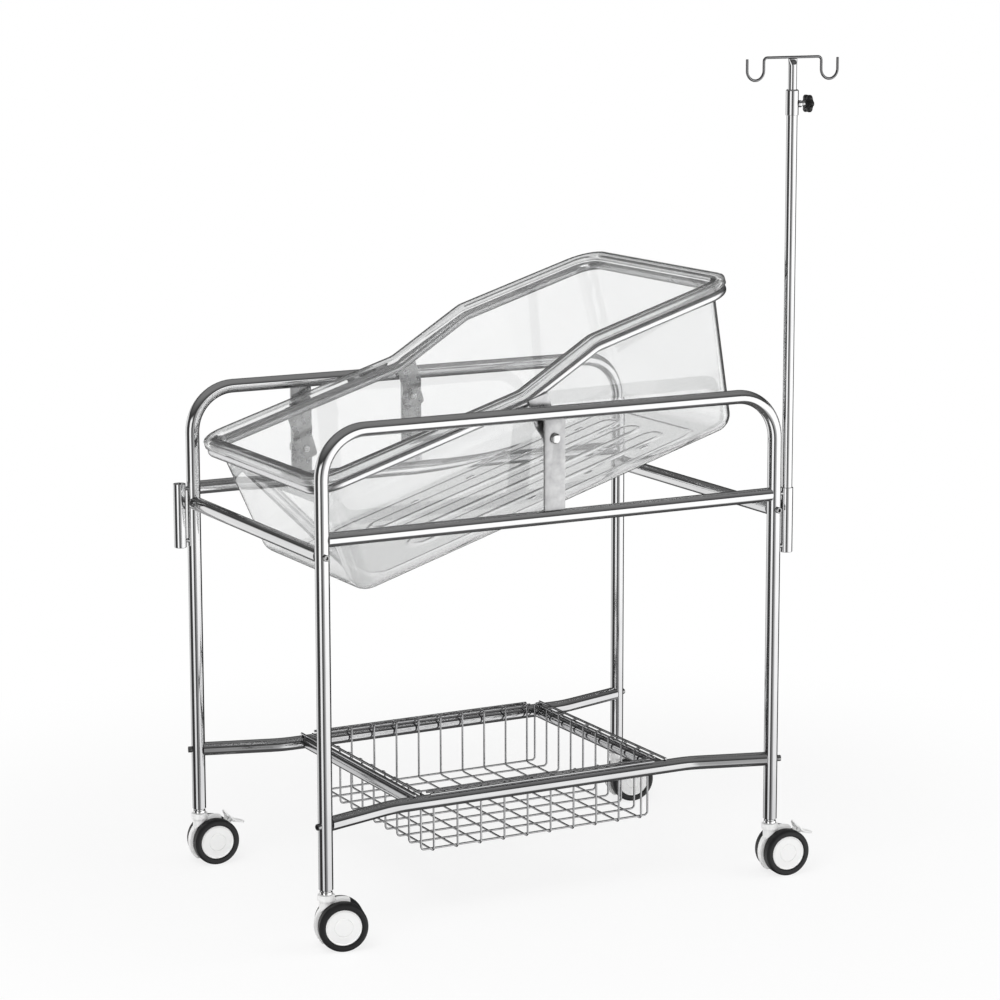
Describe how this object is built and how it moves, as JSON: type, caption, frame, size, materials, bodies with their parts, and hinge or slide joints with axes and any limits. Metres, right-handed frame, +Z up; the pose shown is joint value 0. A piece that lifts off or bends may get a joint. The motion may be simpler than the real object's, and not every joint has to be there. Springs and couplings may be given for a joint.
{
  "type": "hospital bassinet",
  "caption": "Tilting hospital bassinet: clear stepped tub in a pivoting ring cradle on a tubular steel trolley with casters, wire basket and infusion pole with hooks.",
  "frame": {"origin": "centre of the whole object's box at floor level, where the wheels stand", "axes": "+X from the tub's foot end to its head end, +Y from the near side to the side with the tilt lock, +Z up"},
  "size_m": [0.9284, 0.5558, 1.3087],
  "materials": {
    "steel": "satin polished stainless",
    "bright_steel": "bright",
    "clear_plastic": "clear",
    "white_plastic": "semi-gloss",
    "grey_plastic": "satin",
    "black_plastic": "satin",
    "tyre": "matte"
  },
  "bodies": {
    "trolley": {"near_hoop": "steel", "far_hoop": "steel", "near_mid_rail": "steel", "far_mid_rail": "steel", "foot_end_rail": "steel", "head_end_rail": "steel", "near_lower_rail": "steel", "far_lower_rail": "steel", "foot_cross_rail": "steel", "head_cross_rail": "steel", "rail_screws": "bright_steel", "near_pivot_bar": "steel", "far_pivot_bar": "steel", "tilt_lock_bar": "steel", "iv_socket": "steel", "spare_iv_socket": "steel", "caster_stems": "bright_steel", "pivot_bolts": "bright_steel"},
    "cradle": {"rim_ring": "steel", "near_hanger": "steel", "far_hanger": "steel", "lock_hanger": "steel", "lock_bolt": "bright_steel"},
    "tub": {"tub": "clear_plastic"},
    "lock_knob": {"lock_knob": "grey_plastic"},
    "iv_pole": {"iv_outer_tube": "steel", "iv_collar": "steel"},
    "clamp_knob": {"iv_clamp_screw": "bright_steel", "iv_clamp_knob": "black_plastic"},
    "iv_mast": {"iv_inner_tube": "steel", "iv_hook_rod": "steel"},
    "basket": {"basket_rim": "steel", "basket_floor": "steel", "basket_walls": "steel"},
    "near_foot_caster": {"near_foot_housing": "white_plastic", "near_foot_axle": "bright_steel"},
    "near_foot_wheel_near": {"near_foot_hub_near": "white_plastic", "near_foot_tyre_near": "tyre"},
    "near_foot_wheel_far": {"near_foot_hub_far": "white_plastic", "near_foot_tyre_far": "tyre"},
    "near_head_caster": {"near_head_housing": "white_plastic", "near_head_axle": "bright_steel"},
    "near_head_wheel_near": {"near_head_hub_near": "white_plastic", "near_head_tyre_near": "tyre"},
    "near_head_wheel_far": {"near_head_hub_far": "white_plastic", "near_head_tyre_far": "tyre"},
    "near_head_pedal": {"near_head_brake_pedal": "white_plastic"},
    "far_foot_caster": {"far_foot_housing": "white_plastic", "far_foot_axle": "bright_steel"},
    "far_foot_wheel_near": {"far_foot_hub_near": "white_plastic", "far_foot_tyre_near": "tyre"},
    "far_foot_wheel_far": {"far_foot_hub_far": "white_plastic", "far_foot_tyre_far": "tyre"},
    "far_foot_pedal": {"far_foot_brake_pedal": "white_plastic"},
    "far_head_caster": {"far_head_housing": "white_plastic", "far_head_axle": "bright_steel"},
    "far_head_wheel_near": {"far_head_hub_near": "white_plastic", "far_head_tyre_near": "tyre"},
    "far_head_wheel_far": {"far_head_hub_far": "white_plastic", "far_head_tyre_far": "tyre"}
  },
  "joints": [
    {"name": "tub_tilt", "type": "hinge", "parent": "trolley", "child": "cradle", "pos_m": [-0.04165, 0.0054, 0.743], "axis": [0, 1, 0], "range_deg": [0, 17.4]},
    {"name": "tub_lift", "type": "slide", "parent": "cradle", "child": "tub", "axis": [-0.299, 0, 0.9542], "range_m": [0, 0.26]},
    {"name": "lock_knob_turn", "type": "hinge", "parent": "cradle", "child": "lock_knob", "pos_m": [-0.23613, 0.2634, 0.67105], "axis": [0, 1, 0], "range_deg": [0, 720]},
    {"name": "iv_pole_lift", "type": "slide", "parent": "trolley", "child": "iv_pole", "axis": [0, 0, 1], "range_m": [0, 0.11]},
    {"name": "iv_mast_slide", "type": "slide", "parent": "iv_pole", "child": "iv_mast", "axis": [0, 0, 1], "range_m": [-0.035, 0.42]},
    {"name": "clamp_knob_turn", "type": "hinge", "parent": "iv_pole", "child": "clamp_knob", "pos_m": [0.40135, -0.2396, 1.2345], "axis": [1, 0, 0], "range_deg": [0, 720]},
    {"name": "basket_lift", "type": "slide", "parent": "trolley", "child": "basket", "axis": [0, 0, 1], "range_m": [0, 0.12]},
    {"name": "near_foot_swivel", "type": "hinge", "parent": "trolley", "child": "near_foot_caster", "pos_m": [-0.43015, -0.2396, 0.075], "axis": [0, 0, 1], "continuous": true},
    {"name": "near_foot_wheel_near_spin", "type": "hinge", "parent": "near_foot_caster", "child": "near_foot_wheel_near", "pos_m": [-0.40842, -0.24543, 0.0375], "axis": [0.2588, 0.9659, 0], "continuous": true},
    {"name": "near_foot_wheel_far_spin", "type": "hinge", "parent": "near_foot_caster", "child": "near_foot_wheel_far", "pos_m": [-0.40842, -0.24543, 0.0375], "axis": [0.2588, 0.9659, 0], "continuous": true},
    {"name": "near_head_swivel", "type": "hinge", "parent": "trolley", "child": "near_head_caster", "pos_m": [0.35485, -0.2396, 0.075], "axis": [0, 0, 1], "continuous": true},
    {"name": "near_head_wheel_near_spin", "type": "hinge", "parent": "near_head_caster", "child": "near_head_wheel_near", "pos_m": [0.37723, -0.24195, 0.0375], "axis": [0.1045, 0.9945, 0], "continuous": true},
    {"name": "near_head_wheel_far_spin", "type": "hinge", "parent": "near_head_caster", "child": "near_head_wheel_far", "pos_m": [0.37723, -0.24195, 0.0375], "axis": [0.1045, 0.9945, 0], "continuous": true},
    {"name": "near_head_brake", "type": "hinge", "parent": "near_head_caster", "child": "near_head_pedal", "pos_m": [0.40358, -0.24472, 0.068], "axis": [0.1045, 0.9945, 0], "range_deg": [0, 14]},
    {"name": "far_foot_swivel", "type": "hinge", "parent": "trolley", "child": "far_foot_caster", "pos_m": [-0.43015, 0.2504, 0.075], "axis": [0, 0, 1], "continuous": true},
    {"name": "far_foot_wheel_near_spin", "type": "hinge", "parent": "far_foot_caster", "child": "far_foot_wheel_near", "pos_m": [-0.40769, 0.24902, 0.0375], "axis": [0.061, 0.9981, 0], "continuous": true},
    {"name": "far_foot_wheel_far_spin", "type": "hinge", "parent": "far_foot_caster", "child": "far_foot_wheel_far", "pos_m": [-0.40769, 0.24902, 0.0375], "axis": [0.061, 0.9981, 0], "continuous": true},
    {"name": "far_foot_brake", "type": "hinge", "parent": "far_foot_caster", "child": "far_foot_pedal", "pos_m": [-0.38124, 0.24741, 0.068], "axis": [0.061, 0.9981, 0], "range_deg": [0, 14]},
    {"name": "far_head_swivel", "type": "hinge", "parent": "trolley", "child": "far_head_caster", "pos_m": [0.35485, 0.2504, 0.075], "axis": [0, 0, 1], "continuous": true},
    {"name": "far_head_wheel_near_spin", "type": "hinge", "parent": "far_head_caster", "child": "far_head_wheel_near", "pos_m": [0.37713, 0.24727, 0.0375], "axis": [0.1392, 0.9903, 0], "continuous": true},
    {"name": "far_head_wheel_far_spin", "type": "hinge", "parent": "far_head_caster", "child": "far_head_wheel_far", "pos_m": [0.37713, 0.24727, 0.0375], "axis": [0.1392, 0.9903, 0], "continuous": true}
  ]
}
